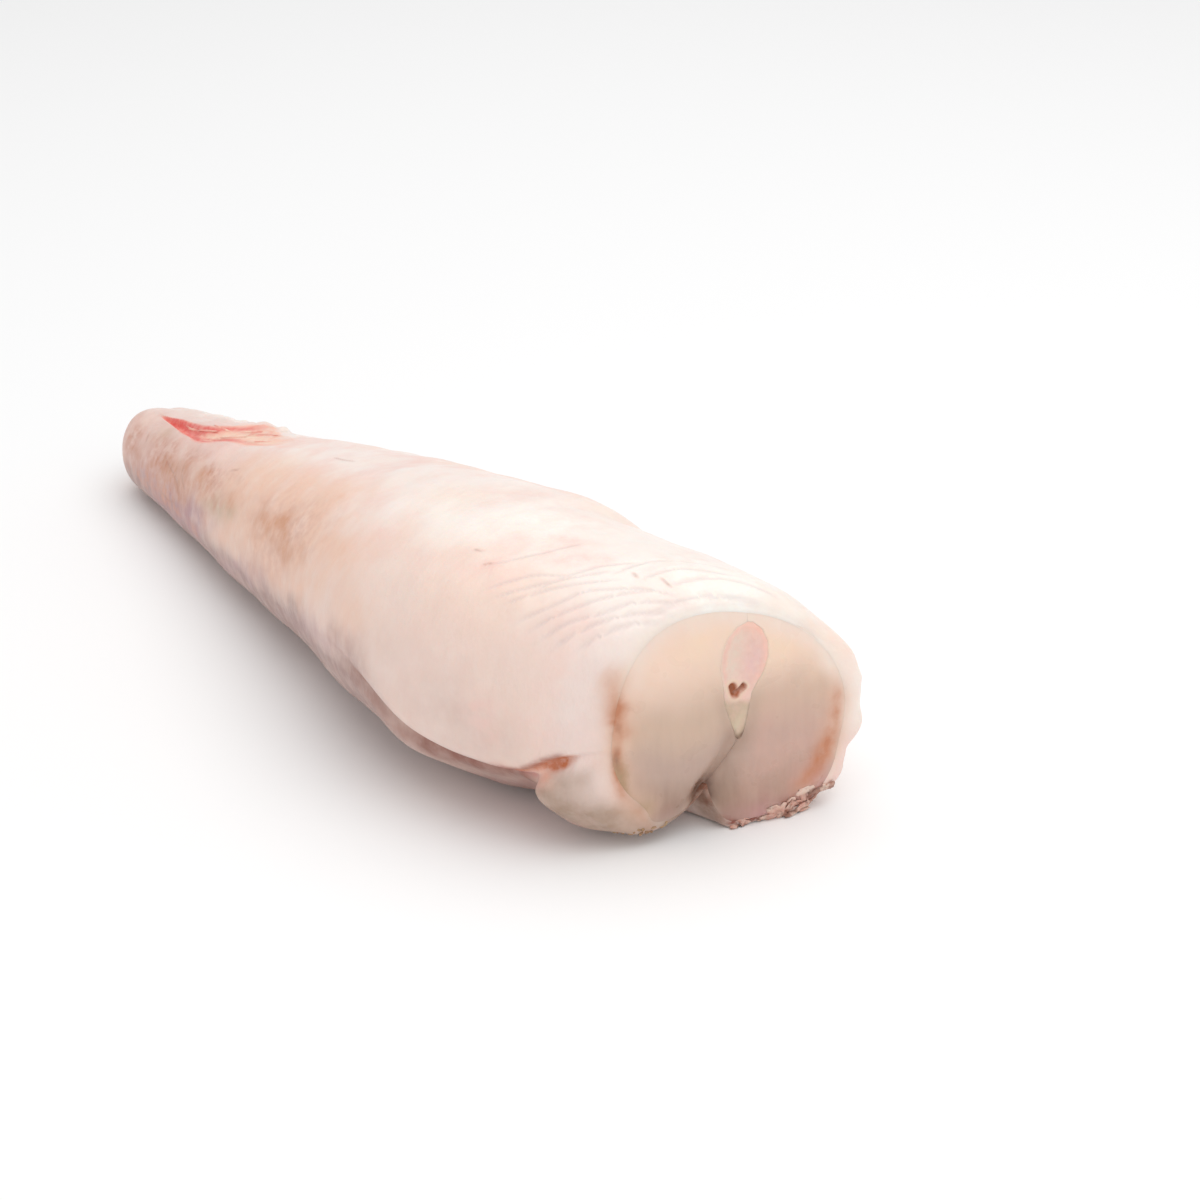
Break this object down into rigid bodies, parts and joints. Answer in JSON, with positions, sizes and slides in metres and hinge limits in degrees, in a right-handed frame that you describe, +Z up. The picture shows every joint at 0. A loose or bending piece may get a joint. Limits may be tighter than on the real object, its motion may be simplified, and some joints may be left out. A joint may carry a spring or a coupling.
{
  "type": "monkfish tail",
  "caption": "Skinned raw monkfish tail, thick and round at the cut end and tapering to a blunt tip, lying on its belly with its loins and backbone showing in the cut.",
  "frame": {"origin": "centre of the bounding box's bottom face, on the surface that the tail lies on", "axes": "+Y along the body from the cut to the thin end, +Z up, +X to the right flank"},
  "size_m": [0.1102, 0.3262, 0.0785],
  "materials": {
    "membrane": "moist, translucent pinkish white membrane over pale flesh",
    "flesh": "moist, smooth, translucent raw flesh, cream to beige",
    "bone": "moist pinkish cartilage"
  },
  "bodies": {
    "root": {"outer_membrane": "membrane", "loin_left": "flesh", "loin_right": "flesh", "backbone": "bone"}
  },
  "joints": []
}
